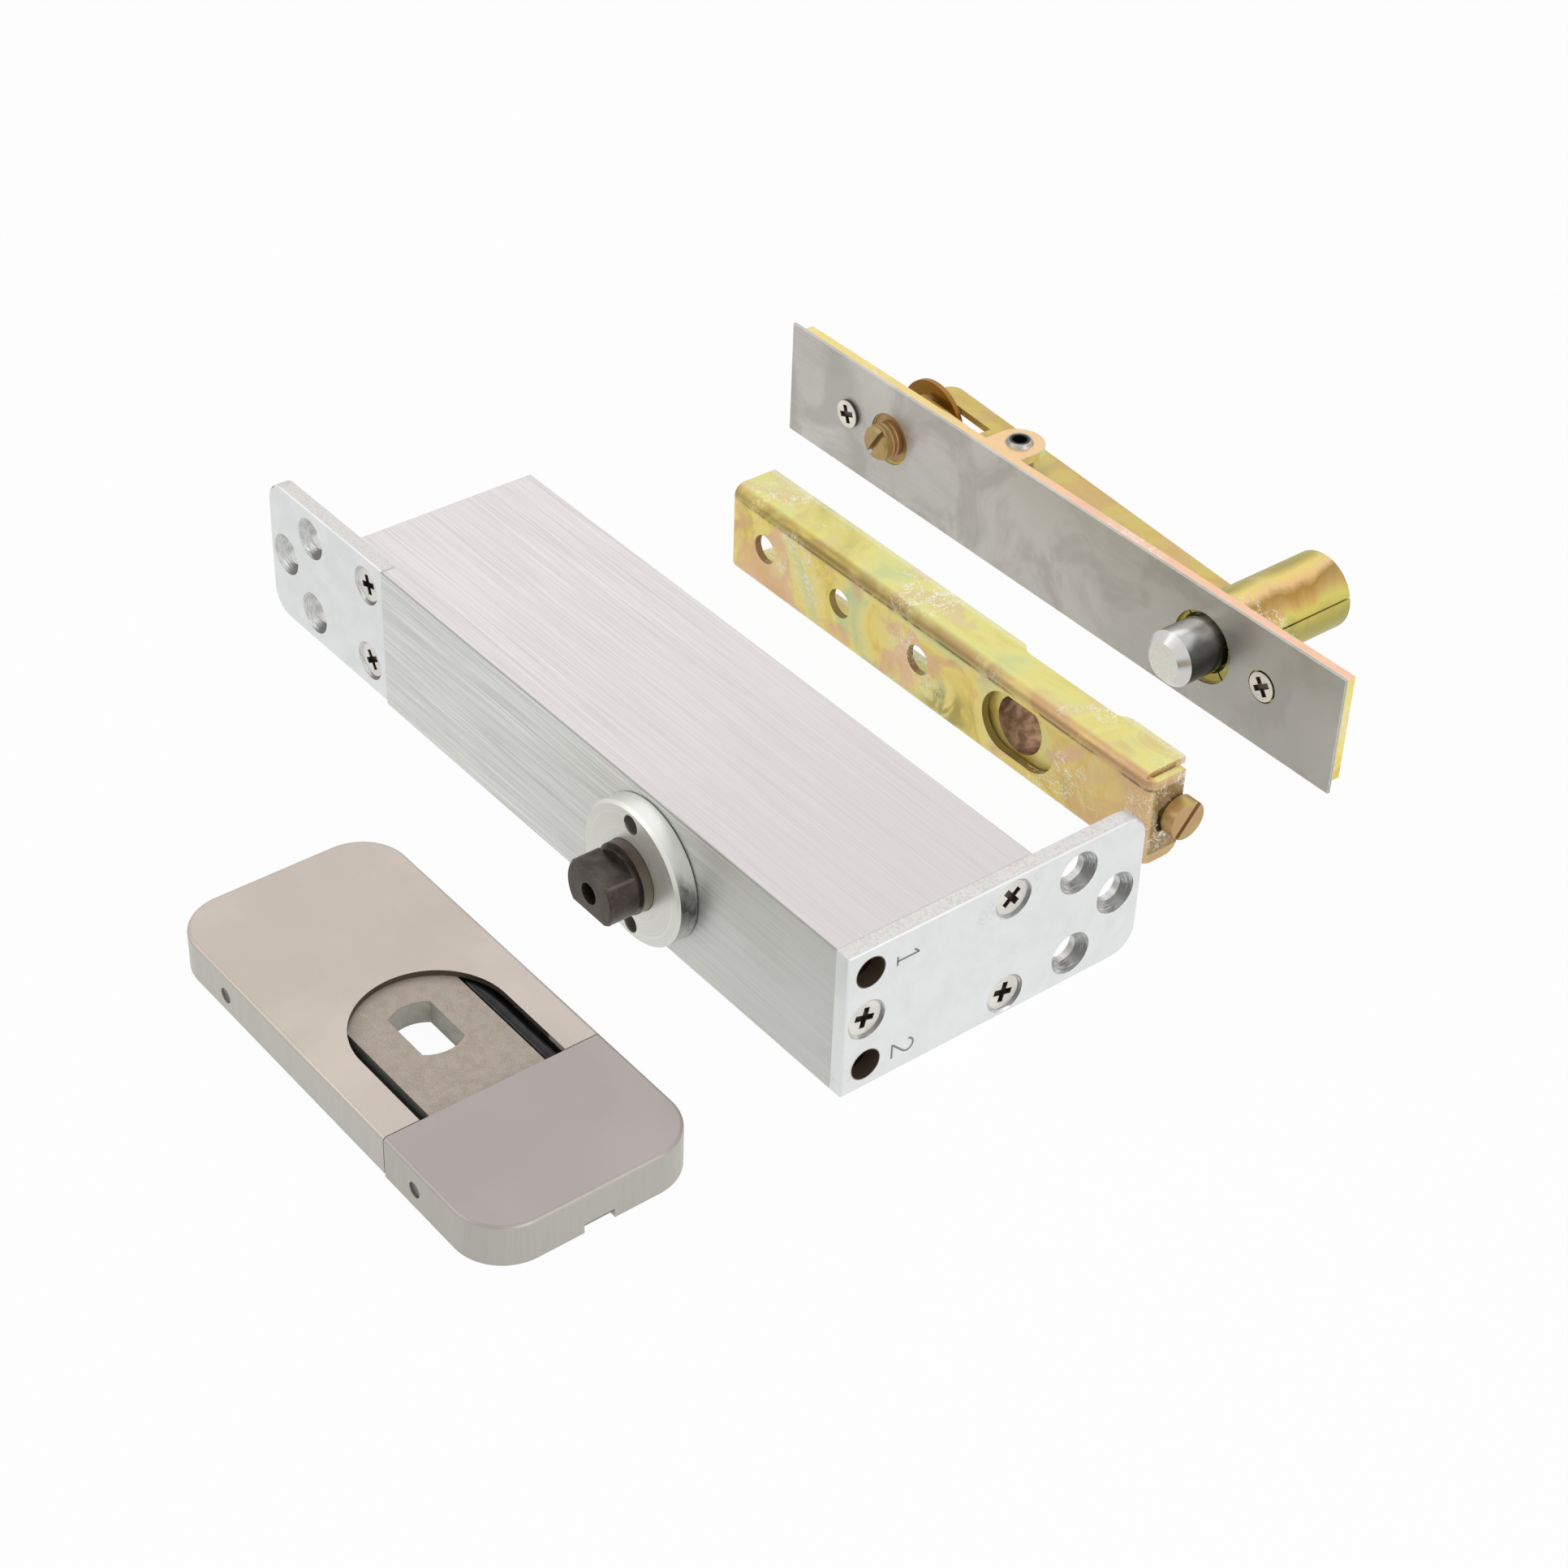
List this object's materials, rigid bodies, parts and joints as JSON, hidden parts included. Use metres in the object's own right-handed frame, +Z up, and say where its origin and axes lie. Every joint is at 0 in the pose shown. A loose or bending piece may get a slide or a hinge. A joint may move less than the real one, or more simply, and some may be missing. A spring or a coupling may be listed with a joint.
{
  "type": "concealed door hinge",
  "caption": "Concealed hydraulic door hinge laid out as its units: spring-loaded body with spindle, floor plate, top pivot with retracting pin, and channel with adjustable pin socket.",
  "frame": {"origin": "on the surface that all units lie on, below the spindle axis, at the middle of the hydraulic body's depth", "axes": "+X along the hydraulic body to its valve end, +Y from the spindle side to the back, +Z up"},
  "size_m": [0.1897, 0.2435, 0.0324],
  "materials": {
    "body_aluminium": "brushed",
    "cap_aluminium": "turned satin",
    "plate_zinc": "bright zinc",
    "nickel_screw": "nickel",
    "black_oxide": "black oxide",
    "hard_steel": "ground steel",
    "seal_rubber": "matt",
    "valve_brass": "machined",
    "cover_satin": "satin",
    "base_steel": "plain",
    "sintered_iron": "sintered",
    "yellow_zinc": "yellow passivated zinc",
    "face_stainless": "satin stainless"
  },
  "bodies": {
    "housing": {"back_bearing": "hard_steel", "backing_plate": "yellow_zinc", "base_plate": "base_steel", "bearing_cap": "cap_aluminium", "channel": "yellow_zinc", "cover_screw_1": "base_steel", "cover_screw_2": "base_steel", "cover_screw_3": "base_steel", "cover_screw_4": "base_steel", "drive_nut": "yellow_zinc", "edge_plate": "plate_zinc", "edge_screw_1": "nickel_screw", "edge_screw_2": "nickel_screw", "edge_screw_3": "nickel_screw", "end_cover": "cover_satin", "end_plug": "body_aluminium", "face_plate": "face_stainless", "face_screw_1": "nickel_screw", "face_screw_2": "nickel_screw", "front_bearing": "hard_steel", "guide_rod_1": "black_oxide", "guide_rod_2": "black_oxide", "guide_tube": "yellow_zinc", "hinge_body": "body_aluminium", "lever_rivet": "yellow_zinc", "main_cover": "cover_satin", "main_spring": "hard_steel", "plug_seal": "seal_rubber", "shaft_seal": "seal_rubber", "strap_plate": "plate_zinc", "strap_screw_1": "nickel_screw", "strap_screw_2": "nickel_screw"},
    "spindle": {"spindle": "black_oxide", "cam": "hard_steel"},
    "piston": {"piston": "hard_steel", "piston_seal": "seal_rubber", "roller_pin": "hard_steel", "check_ball": "hard_steel"},
    "roller": {"cam_roller": "hard_steel"},
    "valve_1": {"valve_screw_1": "valve_brass", "valve_seal_1": "seal_rubber"},
    "valve_2": {"valve_screw_2": "valve_brass", "valve_seal_2": "seal_rubber"},
    "floor_socket": {"socket_block": "sintered_iron"},
    "pin_socket": {"socket_slide": "yellow_zinc"},
    "adjuster": {"adjusting_screw": "yellow_zinc"},
    "pin": {"pivot_pin": "hard_steel"},
    "lever": {"lever": "yellow_zinc"},
    "disc": {"drive_disc": "yellow_zinc"},
    "drive": {"drive_screw": "yellow_zinc"}
  },
  "joints": [
    {"name": "spindle_turn", "type": "hinge", "parent": "housing", "child": "spindle", "pos_m": [0, 0, 0.016], "axis": [0, 1, 0], "range_deg": [0, 110]},
    {"name": "piston_slide", "type": "slide", "parent": "housing", "child": "piston", "axis": [-1, 0, 0], "range_m": [0, 0.004], "stiffness_N_per_m": 2000, "springref_m": -0.02, "deforming": ["main_spring"]},
    {"name": "roller_spin", "type": "hinge", "parent": "piston", "child": "roller", "pos_m": [-0.01115, 0, 0.016], "axis": [0, 1, 0], "continuous": true},
    {"name": "valve_1_turn", "type": "hinge", "parent": "housing", "child": "valve_1", "pos_m": [0.0488, -0.01722, 0.02665], "axis": [1, 0, 0], "range_deg": [0, 720]},
    {"name": "valve_2_turn", "type": "hinge", "parent": "housing", "child": "valve_2", "pos_m": [0.0488, -0.01722, 0.00535], "axis": [1, 0, 0], "range_deg": [0, 720]},
    {"name": "floor_socket_slide", "type": "slide", "parent": "housing", "child": "floor_socket", "axis": [1, 0, 0], "range_m": [-0.003, 0.003]},
    {"name": "pin_socket_slide", "type": "slide", "parent": "housing", "child": "pin_socket", "axis": [1, 0, 0], "range_m": [-0.003, 0.003]},
    {"name": "adjusting_screw_turn", "type": "hinge", "parent": "housing", "child": "adjuster", "pos_m": [0.042, 0.0725, 0.01075], "axis": [-1, 0, 0], "range_deg": [-1352, 1352]},
    {"name": "pin_slide", "type": "slide", "parent": "housing", "child": "pin", "axis": [0, 1, 0], "range_m": [0, 0.011]},
    {"name": "lever_swing", "type": "hinge", "parent": "housing", "child": "lever", "pos_m": [-0.0585, 0.1193, 0.0202], "axis": [0, 0, 1], "range_deg": [0, 9.6]},
    {"name": "disc_slide", "type": "slide", "parent": "housing", "child": "disc", "axis": [0, -1, 0], "range_m": [0, 0.00566]},
    {"name": "drive_screw_turn", "type": "hinge", "parent": "disc", "child": "drive", "pos_m": [-0.0924, 0.1119, 0.0144], "axis": [0, -1, 0], "range_deg": [0, 1625]}
  ],
  "couplings": [
    {"joint": "spindle_turn", "follows": "piston_slide", "rad_per_m": 479.97},
    {"joint": "adjusting_screw_turn", "follows": "pin_socket_slide", "rad_per_m": 7854},
    {"joint": "lever_swing", "follows": "pin_slide", "rad_per_m": 15.073},
    {"joint": "disc_slide", "follows": "pin_slide", "ratio": 0.51182},
    {"joint": "drive_screw_turn", "follows": "pin_slide", "rad_per_m": 2572.7}
  ]
}
